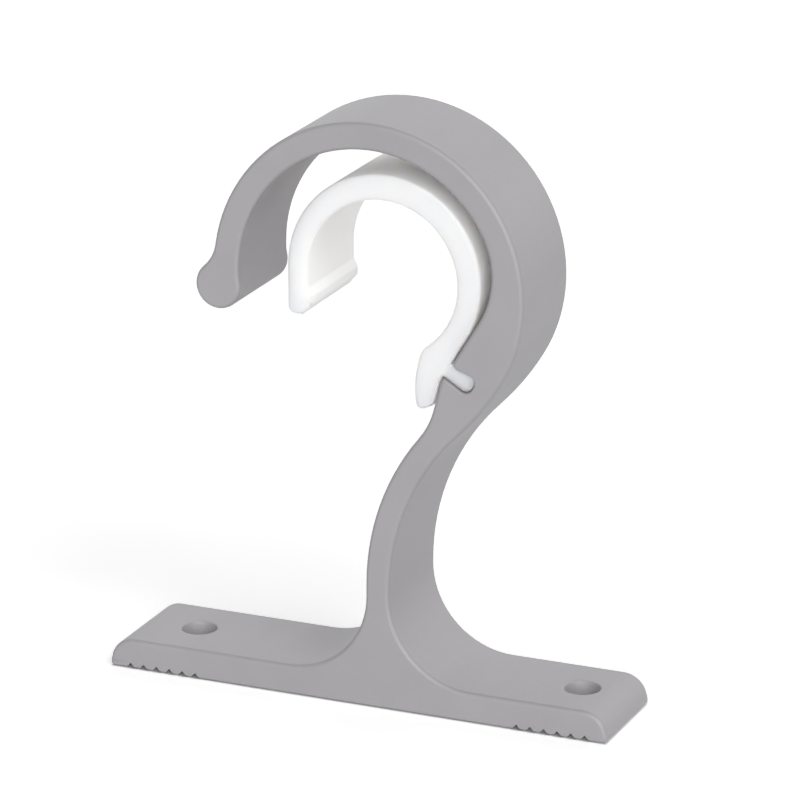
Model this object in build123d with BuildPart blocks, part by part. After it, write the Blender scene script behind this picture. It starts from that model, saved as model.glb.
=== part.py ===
from math import acos, atan2, cos, degrees, radians, sin, sqrt
import os

from build123d import *

os.makedirs("parts", exist_ok=True)

# The bracket is a length cut from an extruded bar, so its side profile is the same
# from front to back. Profiles are drawn on a plane through the rod's axis, with x
# along the base and y up. The part's origin is the middle of the base's underside.

# Rod seat and arm
large_rod_d = 28.0
seat_clearance = 0.5      # radial room for the large rod
arm_t = 2.9
shoulder_gain = 13.5      # how much larger the shoulder's arc is than the arm's
shoulder_start = -30.6    # angle at which the arm passes into the shoulder
bead_r = 2.55
bead_out = 2.4            # bead's centre, out from the seat's circle
bead_drop = 1.9           # bead's centre, below the rod's axis
bead_blend = 4.2
bead_inner_blend = 2.0    # where the bead stands in past the seat's circle

# Pad: the flat on the seat's lower right that carries the liner
pad_rise = 2.6            # how far the pad stands in from the seat's circle
pad_angle = -31.2         # direction from the rod's axis to the pad
pad_blend = 9.5
pad_lower = 3.6           # from the pad's middle down to its lower corner
tail_face_angle = 75.0    # slope of the face below the pad, where the tail lies
tail_face_len = 5.4
tail_face_blend = 9.0

# Slot in the pad. It widens inwards, so the liner slides in from one end.
slot_neck_w = 1.75
slot_w = 2.4              # at the slot's bottom
slot_depth = 3.2
slot_end_r = 0.9
slot_margin = 0.5         # metal between the slot and the pad's lower corner
slot_flare = 0.35         # how far the upper lip slopes away from the neck
slot_flare_depth = 0.6

# Stem
axis_height = 46.4        # rod's axis above the underside
stem_t = 2.65
stem_shift = 0.15         # the stem's left face stands this far left of the rod's axis
root_left_r = 9.0
root_right_r = 9.25
waist_left = 1.4          # straight stretch above each root
waist_right = 0.4

# Base
depth = 12.5
base_left = 30.15         # reach to each side of the rod's axis
base_right = 27.1
base_t = 3.3
base_end_r = 2.7
base_corner_r = 0.4
hole_d = 3.8
hole_edge_r = 0.25
hole_margin_left = 7.65
hole_margin_right = 5.1
groove_count = 6
groove_pitch = 1.53
groove_w = 0.95
groove_depth = 0.5
groove_margin = 2.4
edge_break = 0.25         # around both cut faces

# Liner that narrows the seat for the small rod
small_rod_d = 16.0
liner_clearance = 0.35    # radial room for the small rod
liner_wall = 2.43
crown_extra = 0.32        # the ring is thicker opposite its mouth
liner_gap = 0.2           # between the liner and the bracket's pad and tail face
liner_rise = 1.76         # bore's centre above the pad's middle, along the pad
leg_len = 4.95
leg_end_r = 0.9
catch_rise = 0.45         # the catch stands in from the leg by this much
catch_slope = 0.9         # height over which it rises
catch_len = 0.85
catch_lead = 1.2          # height of the lead-in below it
catch_lead_w = 1.05
catch_r = 0.4
mouth_angle = -57.0       # where the ring's bore passes into the tail
mouth_r = 2.0
tail_len = 2.9
tail_tip_w = 1.7
tail_tip_drop = 0.8       # the tail's tip slopes down, away from the bracket
tail_heel_r = 0.3
tail_toe_r = 0.65
tail_bulge = 0.55
barb_root = 1.2           # barb's reach back into the ring's wall
barb_gap = 0.12
barb_inset = 0.2          # barb's ends behind the liner's ends
liner_inset = 0.1         # liner's ends behind the bracket's cut faces
liner_edge_break = 0.2

seat_r = large_rod_d / 2 + seat_clearance
arm_r = seat_r + arm_t
underside = -axis_height
base_top = underside + base_t
axis_x = (base_left - base_right) / 2
stem_left = -stem_shift
stem_right = stem_left + stem_t
profile_plane = Plane(origin=(axis_x, 0, axis_height), x_dir=(1, 0, 0), z_dir=(0, -1, 0))


def polar(centre, radius, angle):
    """The point at an angle on a circle."""
    return (centre[0] + radius * cos(radians(angle)), centre[1] + radius * sin(radians(angle)))


def heading(start, end):
    """The direction from one point to another, in degrees."""
    return degrees(atan2(end[1] - start[1], end[0] - start[0]))


def pad_point(out, up):
    """A point given from the pad's middle: out into the metal, and up along the pad."""
    return polar(polar((0, 0), seat_r - pad_rise + out, pad_angle), up, pad_angle + 90)


def round_corner(sketch, point, radius):
    """Rounds the corner of a sketch that lies nearest to a point."""
    fillet(sketch.vertices().sort_by_distance(Vector(*point))[0], radius)


# Half the height over which the bead stands in past the seat's circle
bead_half = sqrt(bead_r**2 - bead_out**2)

# Shoulder: an arc that contains the arm's outer circle and touches it from outside.
shoulder_r = arm_r + shoulder_gain
shoulder_centre = polar((0, 0), -shoulder_gain, shoulder_start)

# Right side of the stem: an arc, upright at the waist, that touches the shoulder's arc.
waist_right_top = base_top + root_right_r + waist_right
across = stem_right - shoulder_centre[0]
down = shoulder_centre[1] - waist_right_top
stem_right_r = (across**2 + down**2 - shoulder_r**2) / (2 * (shoulder_r - across))
stem_right_centre = (stem_right + stem_right_r, waist_right_top)
shoulder_end = heading(shoulder_centre, stem_right_centre)

# Left side of the stem: an arc, upright at the waist, up to the face below the pad.
waist_left_top = base_top + root_left_r + waist_left
pad_start = pad_angle + degrees(acos((seat_r - pad_rise) / seat_r))
pad_corner = pad_point(0, -pad_lower)
tail_face_end = polar(pad_corner, -tail_face_len, tail_face_angle)

# The slot is drawn from its lower wall's outer end: x into the metal, y up along the pad
slot_plane = Plane(
    origin=profile_plane.from_local_coords(pad_point(0, slot_margin - pad_lower)),
    x_dir=(cos(radians(pad_angle)), 0, sin(radians(pad_angle))),
    z_dir=profile_plane.z_dir,
)

with BuildPart() as hook_bracket:
    with BuildSketch(profile_plane) as side:
        with BuildLine():
            Line((-base_left, underside), (base_right, underside))
            Line((base_right, underside), (base_right, base_top))
            Line((base_right, base_top), (stem_right + root_right_r, base_top))
            CenterArc((stem_right + root_right_r, base_top + root_right_r), root_right_r, 270, -90)
            Line((stem_right, base_top + root_right_r), (stem_right, waist_right_top))
            CenterArc(stem_right_centre, stem_right_r, 180, shoulder_end)
            CenterArc(shoulder_centre, shoulder_r, shoulder_end, shoulder_start - shoulder_end)
            CenterArc((0, 0), arm_r, shoulder_start, 180 - shoulder_start)
            Line((-arm_r, 0), (-arm_r, -bead_drop))
            Line((-arm_r, -bead_drop), (-seat_r, -bead_drop))
            Line((-seat_r, -bead_drop), (-seat_r, 0))
            CenterArc((0, 0), seat_r, 180, pad_start - 180)
            Line(polar((0, 0), seat_r, pad_start), pad_corner)
            Line(pad_corner, tail_face_end)
            TangentArc((stem_left, waist_left_top), tail_face_end, tangent=(0, 1))
            Line((stem_left, waist_left_top), (stem_left, base_top + root_left_r))
            CenterArc((stem_left - root_left_r, base_top + root_left_r), root_left_r, 0, -90)
            Line((stem_left - root_left_r, base_top), (-base_left, base_top))
            Line((-base_left, base_top), (-base_left, underside))
        make_face()
        with Locations((-seat_r - bead_out, -bead_drop)):
            Circle(bead_r)
        round_corner(side, (-arm_r, bead_r - bead_drop), bead_blend)
        round_corner(side, (-seat_r, bead_half - bead_drop), bead_inner_blend)
        round_corner(side, polar((0, 0), seat_r, pad_start), pad_blend)
        round_corner(side, tail_face_end, tail_face_blend)
        for end in (-base_left, base_right):
            round_corner(side, (end, base_top), base_end_r)
            round_corner(side, (end, underside), base_corner_r)
    extrude(amount=depth / 2, both=True)
    chamfer(hook_bracket.faces().filter_by(Axis.Y).edges(), edge_break)

    # Slot for the liner's barb
    with BuildSketch(slot_plane) as slot:
        Polygon(
            (-liner_gap, 0),
            (slot_depth, 0),
            (slot_depth, slot_w),
            (slot_flare_depth, slot_neck_w),
            (0, slot_neck_w + slot_flare),
            (-liner_gap, slot_neck_w + slot_flare),
            align=None,
        )
        for side_y in (0, slot_w):
            round_corner(slot, (slot_depth, side_y), slot_end_r)
    extrude(amount=depth / 2, both=True, mode=Mode.SUBTRACT)

    # Screw holes, with their upper edge broken
    hole_places = [(-base_left + hole_margin_left, 0), (base_right - hole_margin_right, 0)]
    with BuildSketch(Plane(origin=(axis_x, 0, base_t))):
        with Locations(*hole_places):
            Circle(hole_d / 2)
    extrude(amount=-base_t, mode=Mode.SUBTRACT)
    rims = hook_bracket.edges().filter_by(GeomType.CIRCLE).filter_by(lambda rim: rim.radius == hole_d / 2)
    fillet(rims.group_by(Axis.Z)[-1], hole_edge_r)

    # Gripping grooves across the underside, near both ends
    group_reach = groove_margin + (groove_count - 1) * groove_pitch / 2
    for middle in (group_reach - base_left, base_right - group_reach):
        with BuildSketch(profile_plane):
            with Locations((middle, underside)):
                with GridLocations(groove_pitch, 0, groove_count, 1):
                    Polygon((-groove_w / 2, 0), (groove_w / 2, 0), (0, groove_depth), align=None)
        extrude(amount=depth / 2, both=True, mode=Mode.SUBTRACT)

# Liner: a ring open on its lower left, with a straight leg that ends in a catch, and a
# tail below the pad
bore_r = small_rod_d / 2 + liner_clearance
ring_r = bore_r + liner_wall
ring_out = -liner_gap - ring_r
bore_centre = pad_point(ring_out, liner_rise)
ring_centre = pad_point(ring_out, liner_rise + crown_extra)
leg_inner = bore_centre[0] - bore_r
leg_outer = ring_centre[0] - ring_r
leg_end = bore_centre[1] - leg_len
catch_x = leg_inner + catch_rise
catch_bottom = leg_end + catch_lead
catch_top = catch_bottom + catch_len
lead_end = (catch_x - catch_lead_w, leg_end)

half_turn = (tail_face_angle - pad_angle - 90) / 2
liner_corner = polar(pad_corner, -liner_gap / cos(radians(half_turn)), pad_angle + half_turn)
tail_heel = polar(liner_corner, -tail_len, tail_face_angle)
tail_toe = (tail_heel[0] - tail_tip_w, tail_heel[1] - tail_tip_drop)
mouth_corner = polar(bore_centre, bore_r, mouth_angle)
liner_depth = depth - 2 * liner_inset
barb_depth = liner_depth - 2 * barb_inset
barb_len = slot_depth - barb_gap
barb_start = -liner_gap - barb_root
barb_neck_top = slot_neck_w - barb_gap
slot_slope = (slot_w - slot_neck_w) / (slot_depth - slot_flare_depth)
barb_end_top = barb_neck_top + slot_slope * (barb_len - slot_flare_depth)

with BuildPart() as rod_liner:
    with BuildSketch(profile_plane) as clip:
        with BuildLine():
            Line((leg_outer, leg_end), (leg_outer, ring_centre[1]))
            CenterArc(ring_centre, ring_r, 180, pad_angle - 180)
            Line(polar(ring_centre, ring_r, pad_angle), liner_corner)
            Line(liner_corner, tail_heel)
            Line(tail_heel, tail_toe)
            SagittaArc(tail_toe, mouth_corner, tail_bulge)
            CenterArc(bore_centre, bore_r, mouth_angle, 180 - mouth_angle)
            Line((leg_inner, bore_centre[1]), (leg_inner, catch_top + catch_slope))
            Line((leg_inner, catch_top + catch_slope), (catch_x, catch_top))
            Line((catch_x, catch_top), (catch_x, catch_bottom))
            Line((catch_x, catch_bottom), lead_end)
            Line(lead_end, (leg_outer, leg_end))
        make_face()
        round_corner(clip, (leg_outer, leg_end), leg_end_r)
        for corner in ((catch_x, catch_top), (catch_x, catch_bottom), lead_end):
            round_corner(clip, corner, catch_r)
        round_corner(clip, tail_heel, tail_heel_r)
        round_corner(clip, tail_toe, tail_toe_r)
        round_corner(clip, mouth_corner, mouth_r)
    extrude(amount=liner_depth / 2, both=True)
    chamfer(rod_liner.faces().filter_by(Axis.Y).edges(), liner_edge_break)

    # Barb that holds the liner in the bracket's slot
    with BuildSketch(slot_plane) as barb:
        Polygon(
            (barb_start, barb_gap),
            (barb_len, barb_gap),
            (barb_len, barb_end_top),
            (slot_flare_depth, barb_neck_top),
            (barb_start, barb_neck_top),
            align=None,
        )
        for side_y in (barb_gap, barb_end_top):
            round_corner(barb, (barb_len, side_y), slot_end_r - barb_gap)
    extrude(amount=barb_depth / 2, both=True)

hook_bracket.part.label = "hook_bracket"
export_step(hook_bracket.part, "parts/hook_bracket.step")
rod_liner.part.label = "rod_liner"
export_step(rod_liner.part, "parts/rod_liner.step")
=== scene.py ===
from math import copysign, cos, radians, sin

import bmesh
import bpy
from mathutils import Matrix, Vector


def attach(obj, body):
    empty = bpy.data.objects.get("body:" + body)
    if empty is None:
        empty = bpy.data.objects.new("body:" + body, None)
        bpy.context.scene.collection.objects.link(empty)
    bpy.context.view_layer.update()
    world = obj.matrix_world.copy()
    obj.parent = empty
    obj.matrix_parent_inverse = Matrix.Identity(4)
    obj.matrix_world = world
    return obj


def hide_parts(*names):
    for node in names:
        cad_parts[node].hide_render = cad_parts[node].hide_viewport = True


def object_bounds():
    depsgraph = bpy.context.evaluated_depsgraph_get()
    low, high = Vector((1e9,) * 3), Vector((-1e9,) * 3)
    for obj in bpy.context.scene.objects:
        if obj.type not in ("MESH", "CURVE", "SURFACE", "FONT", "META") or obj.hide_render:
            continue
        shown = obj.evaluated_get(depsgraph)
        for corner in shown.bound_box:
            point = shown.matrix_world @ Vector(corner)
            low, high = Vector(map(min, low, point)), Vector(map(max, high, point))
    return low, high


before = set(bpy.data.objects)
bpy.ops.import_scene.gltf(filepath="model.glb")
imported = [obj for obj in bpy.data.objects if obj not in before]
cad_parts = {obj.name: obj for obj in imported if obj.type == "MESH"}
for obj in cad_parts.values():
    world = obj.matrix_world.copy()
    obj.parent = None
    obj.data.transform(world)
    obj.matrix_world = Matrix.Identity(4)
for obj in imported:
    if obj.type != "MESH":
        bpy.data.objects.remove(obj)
cad_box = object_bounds()

# Lengths are in metres, and angles in degrees until they are used.
MM = 0.001

# Camera
VIEW_AZIMUTH = 23.21
VIEW_ELEVATION = 18.41
VIEW_POINT = Vector((6.21, -8.23, 35.38)) * MM
VIEW_DISTANCE = 511.35 * MM
SENSOR = 36.0             # the sensor's width and the lens are in millimetres
LENS = 223.72

# Meshes
SAME_POINT = 0.0005 * MM
FLAT_ANGLE = 0.5          # neighbouring faces that turn less than this are one flat
CORNER_ANGLE = 25.0       # edges that turn more than this are corners
ROUND_STEPS = 3
BRACKET_ROUND = 0.17 * MM
LINER_ROUND = 0.13 * MM
SHARP_BELOW = 0.9 * MM    # the corners of the underside and its grooves stay sharp

# Grooves, holes and rims
FOOT_TOP = 3.3 * MM
FOOT_MARGIN = 1 * MM      # no groove or hole comes nearer than this to the foot's ends
UNDERSIDE = 0.02 * MM     # faces lower than this are the flat underside
GROOVE_CUT = 0.5 * MM     # how deep the solid's grooves are
GROOVE_REACH = 0.5 * MM   # a little more than half the width of the solid's grooves
GROOVE_DEEP = 0.65 * MM   # how deep the grooves look at their ends
GROOVE_HALF = 0.6 * MM    # half the width that they have there
RIM_WIDTH = 0.5 * MM

# How a face is turned: the part of its normal that lies along an axis
CUT_FACE = 0.98           # more than this along Y: a flat cut face
PROFILE_FACE = 0.15       # less than this along Y: a face of the side profile
UPRIGHT_FACE = 0.1        # less than this along Z: an upright wall

# Stage and light
FLOOR_SIZE = 6.0
FLOOR_DROP = 0.02 * MM
FLOOR_COLOUR = (0.95, 0.95, 0.95, 1)
FLOOR_GLOW = 0.37         # seen, but no light on the object: it makes the lit floor read white
ROOM_LIGHT = 0.255
FRONT_LIGHT = 1.79
SIDE_LIGHT = 0.84
BACK_LIGHT = 1.33
WHITE = (1, 1, 1, 1)

# Finishes
BRACKET_GREY = (0.36, 0.35, 0.363, 1)
LINER_WHITE = (0.985, 0.955, 0.92, 1)
ROUGHNESS_RANGE = 0.06    # how far the grain moves the roughness up and down
RIM_PAINTED_SHADE = 0.05         # painted shade that keeps the rounded rims from catching more light than the faces
GROOVE_PAINTED_SHADE = 0.85      # painted shade: the grooves look nearly black
HOLE_PAINTED_LIGHT = 0.4        # painted light: the drilled walls look lighter

# Where the grooves and holes end along the foot, and where the rims start
foot_end = cad_box[1].x - FOOT_MARGIN
rim_start = cad_box[1].y - RIM_WIDTH


def direction(azimuth, elevation):
    """The unit vector towards a place round the object: azimuth 0 is in front, 90 is on its right."""
    a = radians(azimuth)
    e = radians(elevation)
    return Vector((sin(a) * cos(e), -cos(a) * cos(e), sin(e)))


def aim(thing, place, target):
    """Adds a camera or lamp to the scene, at a place and turned to a target."""
    thing.location = place
    thing.rotation_mode = "QUATERNION"
    thing.rotation_quaternion = (target - place).to_track_quat("-Z", "Y")
    bpy.context.scene.collection.objects.link(thing)


def make_camera():
    """A long lens that looks at the front of the object, from a little to the right and above."""
    optics = bpy.data.cameras.new("camera")
    optics.sensor_width = SENSOR
    optics.lens = LENS
    optics.clip_start = 0.1 * VIEW_DISTANCE
    optics.clip_end = 2 * FLOOR_SIZE
    camera = bpy.data.objects.new("camera", optics)
    aim(camera, VIEW_POINT + VIEW_DISTANCE * direction(VIEW_AZIMUTH, VIEW_ELEVATION), VIEW_POINT)
    bpy.context.scene.camera = camera


def socket(group, name, side, kind="NodeSocketFloat"):
    """Adds a named input or output to a node group."""
    group.interface.new_socket(name=name, in_out=side, socket_type=kind)


def surface_grain():
    """Fine grain, drawn out along the object's Y, and a colour with slow patches of tone, darkened by
    painted shade and lightened by painted light.
    """
    group = bpy.data.node_groups.new("surface grain", "ShaderNodeTree")
    socket(group, "Position", "INPUT", "NodeSocketVector")
    socket(group, "Grains per metre", "INPUT")
    socket(group, "Patches per metre", "INPUT")
    socket(group, "Draw-out", "INPUT")
    socket(group, "Colour", "INPUT", "NodeSocketColor")
    socket(group, "Tone range", "INPUT")
    socket(group, "Painted shade and light", "INPUT")
    socket(group, "Height", "OUTPUT")
    socket(group, "Toned colour", "OUTPUT", "NodeSocketColor")
    nodes = group.nodes
    link = group.links.new
    given = nodes.new("NodeGroupInput")
    result = nodes.new("NodeGroupOutput")

    stretch = nodes.new("ShaderNodeCombineXYZ")
    stretch.inputs["X"].default_value = 1.0
    stretch.inputs["Z"].default_value = 1.0
    link(given.outputs["Draw-out"], stretch.inputs["Y"])
    drawn = nodes.new("ShaderNodeVectorMath")
    drawn.operation = "MULTIPLY"
    link(given.outputs["Position"], drawn.inputs[0])
    link(stretch.outputs["Vector"], drawn.inputs[1])

    grain = nodes.new("ShaderNodeTexNoise")
    grain.inputs["Detail"].default_value = 3.0
    grain.inputs["Roughness"].default_value = 0.6
    link(drawn.outputs["Vector"], grain.inputs["Vector"])
    link(given.outputs["Grains per metre"], grain.inputs["Scale"])
    link(grain.outputs["Fac"], result.inputs["Height"])

    patches = nodes.new("ShaderNodeTexNoise")
    patches.inputs["Detail"].default_value = 4.0
    patches.inputs["Roughness"].default_value = 0.55
    link(drawn.outputs["Vector"], patches.inputs["Vector"])
    link(given.outputs["Patches per metre"], patches.inputs["Scale"])

    spread = nodes.new("ShaderNodeMapRange")
    spread.inputs["From Min"].default_value = 0.3
    spread.inputs["From Max"].default_value = 0.7
    spread.inputs["To Min"].default_value = -1.0
    spread.inputs["To Max"].default_value = 1.0
    link(patches.outputs["Fac"], spread.inputs["Value"])
    patchy = nodes.new("ShaderNodeMath")
    patchy.operation = "MULTIPLY_ADD"
    patchy.inputs[2].default_value = 1.0
    link(spread.outputs["Result"], patchy.inputs[0])
    link(given.outputs["Tone range"], patchy.inputs[1])
    lightness = nodes.new("ShaderNodeMath")
    lightness.operation = "SUBTRACT"
    lightness.inputs[0].default_value = 1.0
    link(given.outputs["Painted shade and light"], lightness.inputs[1])
    tone = nodes.new("ShaderNodeMath")
    tone.operation = "MULTIPLY"
    link(patchy.outputs["Value"], tone.inputs[0])
    link(lightness.outputs["Value"], tone.inputs[1])
    toned = nodes.new("ShaderNodeVectorMath")
    toned.operation = "SCALE"
    link(given.outputs["Colour"], toned.inputs[0])
    link(tone.outputs["Value"], toned.inputs["Scale"])
    link(toned.outputs["Vector"], result.inputs["Toned colour"])
    return group


def finish_material(name, grain_group, grain_values, roughness, relief, even_values):
    """A finish whose tone, roughness and relief follow the grain."""
    material = bpy.data.materials.new(name)
    material.use_nodes = True
    nodes = material.node_tree.nodes
    link = material.node_tree.links.new
    shader = nodes["Principled BSDF"]
    for key, value in even_values.items():
        shader.inputs[key].default_value = value

    place = nodes.new("ShaderNodeTexCoord")
    grain = nodes.new("ShaderNodeGroup")
    grain.node_tree = grain_group
    for key, value in grain_values.items():
        grain.inputs[key].default_value = value
    link(place.outputs["Object"], grain.inputs["Position"])
    # painted shade and light, stored on the faces, darken or lighten the colour
    painted_shade_and_light = nodes.new("ShaderNodeAttribute")
    painted_shade_and_light.attribute_name = "painted_shade_and_light"
    link(painted_shade_and_light.outputs["Fac"], grain.inputs["Painted shade and light"])
    link(grain.outputs["Toned colour"], shader.inputs["Base Color"])

    matt = nodes.new("ShaderNodeMapRange")
    matt.inputs["To Min"].default_value = roughness - ROUGHNESS_RANGE
    matt.inputs["To Max"].default_value = roughness + ROUGHNESS_RANGE
    link(grain.outputs["Height"], matt.inputs["Value"])
    link(matt.outputs["Result"], shader.inputs["Roughness"])

    bump = nodes.new("ShaderNodeBump")
    bump.inputs["Strength"].default_value = 0.5
    bump.inputs["Distance"].default_value = relief
    link(grain.outputs["Height"], bump.inputs["Height"])
    link(bump.outputs["Normal"], shader.inputs["Normal"])
    return material


def paint_shade_and_light(shape):
    """Paints shade on the rims and grooves and light on the hole walls: how much darker each face is
    than the finish around it, below zero where it is lighter.
    """
    painted_shade_and_light = shape.faces.layers.float.new("painted_shade_and_light")
    for face in shape.faces:
        along_y = abs(face.normal.y)
        along_z = abs(face.normal.z)
        middle = face.calc_center_median()
        in_foot = abs(middle.x) < foot_end and UNDERSIDE < middle.z < FOOT_TOP
        near_cut = abs(middle.y) > rim_start
        if in_foot and middle.z < GROOVE_DEEP and along_y < PROFILE_FACE:
            face[painted_shade_and_light] = GROOVE_PAINTED_SHADE
        elif near_cut and along_y < CUT_FACE:
            face[painted_shade_and_light] = RIM_PAINTED_SHADE
        elif in_foot and not near_cut and along_z < UPRIGHT_FACE:
            face[painted_shade_and_light] = -HOLE_PAINTED_LIGHT


def widen_grooves(shape):
    """Makes the V-shaped grooves wider and deeper, by way of the corners at their open ends."""
    low = [
        vert for vert in shape.verts
        if abs(vert.co.x) < foot_end and abs(vert.co.y) > rim_start and vert.co.z < GROOVE_DEEP
    ]
    tips = [vert for vert in low if abs(vert.co.z - GROOVE_CUT) < SAME_POINT]
    lines = {round(vert.co.x / SAME_POINT): vert.co.x for vert in tips}.values()
    for vert in tips:
        vert.co.z = GROOVE_DEEP
    for line in lines:
        for vert in low:
            away = vert.co.x - line
            if SAME_POINT < abs(away) < GROOVE_REACH and vert.co.z < GROOVE_CUT:
                vert.co.x = line + copysign(GROOVE_HALF * (1 - vert.co.z / GROOVE_DEEP), away)


def finished_piece(node, name, edge_round, material):
    """A node's shape with its corners rounded, shown in the node's place."""
    shape = bmesh.new()
    shape.from_mesh(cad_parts[node].data)
    bmesh.ops.remove_doubles(shape, verts=shape.verts, dist=SAME_POINT)
    bmesh.ops.dissolve_limit(
        shape, angle_limit=radians(FLAT_ANGLE), use_dissolve_boundaries=False,
        verts=shape.verts, edges=shape.edges,
    )
    widen_grooves(shape)
    corners = []
    for edge in shape.edges:
        if edge.calc_face_angle(0) > radians(CORNER_ANGLE):
            if min(vert.co.z for vert in edge.verts) > SHARP_BELOW:
                corners.append(edge)
            else:
                edge.smooth = False
    # Clamped, the closest corners would hold the rounding back everywhere.
    # Unclamped, rounded faces cross a little at the liner's smallest corners.
    bmesh.ops.bevel(
        shape, geom=corners, affect="EDGES", offset=edge_round, offset_type="OFFSET",
        segments=ROUND_STEPS, profile=0.5, material=-1, clamp_overlap=False, loop_slide=True,
    )
    # painted shade on the rims and grooves, painted light on the hole walls
    paint_shade_and_light(shape)
    for face in shape.faces:
        face.smooth = True
    mesh = bpy.data.meshes.new(name)
    shape.to_mesh(mesh)
    shape.free()
    mesh.materials.append(material)
    piece = bpy.data.objects.new(name, mesh)
    bpy.context.scene.collection.objects.link(piece)
    flats = piece.modifiers.new("flats stay flat", "WEIGHTED_NORMAL")
    flats.mode = "FACE_AREA"
    flats.keep_sharp = True
    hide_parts(node)
    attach(piece, "root")


def seen_directly(nodes, link):
    """1 for rays from the camera, or by way of a reflection or glass, and 0 for light."""
    path = nodes.new("ShaderNodeLightPath")
    total = path.outputs["Is Camera Ray"]
    for kind in ("Is Glossy Ray", "Is Transmission Ray"):
        add = nodes.new("ShaderNodeMath")
        add.operation = "ADD"
        add.use_clamp = True
        link(total, add.inputs[0])
        link(path.outputs[kind], add.inputs[1])
        total = add.outputs["Value"]
    return total


def beside_foot(nodes, link):
    """0 on the floor under the foot, where its grooves stay dark, and 1 elsewhere."""
    half = (cad_box[1] - cad_box[0]) / 2
    place = nodes.new("ShaderNodeTexCoord")
    apart = nodes.new("ShaderNodeSeparateXYZ")
    link(place.outputs["Object"], apart.inputs["Vector"])
    beside = nodes.new("ShaderNodeMath")
    beside.operation = "MAXIMUM"
    for index, (axis, reach) in enumerate((("X", half.x), ("Y", half.y))):
        away = nodes.new("ShaderNodeMath")
        away.operation = "ABSOLUTE"
        link(apart.outputs[axis], away.inputs[0])
        past = nodes.new("ShaderNodeMath")
        past.operation = "GREATER_THAN"
        past.inputs[1].default_value = reach
        link(away.outputs["Value"], past.inputs[0])
        link(past.outputs["Value"], beside.inputs[index])
    return beside.outputs["Value"]


def make_floor():
    """A pale floor that reads white, apart from the object's shadow on it."""
    shape = bmesh.new()
    bmesh.ops.create_grid(shape, x_segments=1, y_segments=1, size=FLOOR_SIZE / 2)
    bmesh.ops.translate(shape, verts=shape.verts, vec=(0, 0, -FLOOR_DROP))
    mesh = bpy.data.meshes.new("floor")
    shape.to_mesh(mesh)
    shape.free()
    material = bpy.data.materials.new("pale floor")
    material.use_nodes = True
    nodes = material.node_tree.nodes
    link = material.node_tree.links.new
    shader = nodes["Principled BSDF"]
    shader.inputs["Base Color"].default_value = FLOOR_COLOUR
    shader.inputs["Roughness"].default_value = 1.0
    shader.inputs["Specular IOR Level"].default_value = 0.0
    shader.inputs["Emission Color"].default_value = WHITE
    shown = nodes.new("ShaderNodeMath")
    shown.operation = "MULTIPLY"
    link(seen_directly(nodes, link), shown.inputs[0])
    link(beside_foot(nodes, link), shown.inputs[1])
    glow = nodes.new("ShaderNodeMath")
    glow.operation = "MULTIPLY"
    glow.inputs[1].default_value = FLOOR_GLOW
    link(shown.outputs["Value"], glow.inputs[0])
    link(glow.outputs["Value"], shader.inputs["Emission Strength"])
    mesh.materials.append(material)
    floor = bpy.data.objects.new("floor", mesh)
    bpy.context.scene.collection.objects.link(floor)


def make_room():
    """Even light from all round, behind a background that reads white."""
    world = bpy.data.worlds.new("room")
    bpy.context.scene.world = world
    world.use_nodes = True
    nodes = world.node_tree.nodes
    link = world.node_tree.links.new
    light = nodes["Background"]
    light.inputs["Color"].default_value = WHITE
    light.inputs["Strength"].default_value = ROOM_LIGHT
    backdrop = nodes.new("ShaderNodeBackground")
    backdrop.inputs["Color"].default_value = WHITE
    backdrop.inputs["Strength"].default_value = 1.0
    choose = nodes.new("ShaderNodeMixShader")
    link(seen_directly(nodes, link), choose.inputs["Fac"])
    link(light.outputs["Background"], choose.inputs[1])
    link(backdrop.outputs["Background"], choose.inputs[2])
    link(choose.outputs["Shader"], nodes["World Output"].inputs["Surface"])


def make_lamp(name, azimuth, elevation, strength, spread):
    """A broad soft light that falls evenly from one side."""
    light = bpy.data.lights.new(name, "SUN")
    light.energy = strength
    light.angle = radians(spread)
    lamp = bpy.data.objects.new(name, light)
    aim(lamp, direction(azimuth, elevation), Vector((0, 0, 0)))


bpy.context.scene.view_settings.view_transform = "Standard"
make_camera()
make_room()
make_floor()
make_lamp("front light", azimuth=23, elevation=15, strength=FRONT_LIGHT, spread=40)
make_lamp("side light", azimuth=60, elevation=45, strength=SIDE_LIGHT, spread=25)
make_lamp("back light", azimuth=180, elevation=15, strength=BACK_LIGHT, spread=90)

fine_grain = surface_grain()
bracket_metal = finish_material(
    "tumbled grey metal", fine_grain,
    grain_values={
        "Grains per metre": 5000.0,
        "Patches per metre": 120.0,
        "Draw-out": 0.15,
        "Colour": BRACKET_GREY,
        "Tone range": 0.03,
    },
    roughness=0.62, relief=0.02 * MM, even_values={"Metallic": 0.35},
)
liner_plastic = finish_material(
    "moulded white plastic", fine_grain,
    grain_values={
        "Grains per metre": 2500.0,
        "Patches per metre": 90.0,
        "Draw-out": 0.4,
        "Colour": LINER_WHITE,
        "Tone range": 0.01,
    },
    roughness=0.42, relief=0.01 * MM,
    even_values={
        "Subsurface Weight": 1.0,
        "Subsurface Radius": (1.0, 0.95, 0.85),
        "Subsurface Scale": 3 * MM,
    },
)
finished_piece("hook_bracket", "bracket", BRACKET_ROUND, bracket_metal)
finished_piece("rod_liner", "liner", LINER_ROUND, liner_plastic)
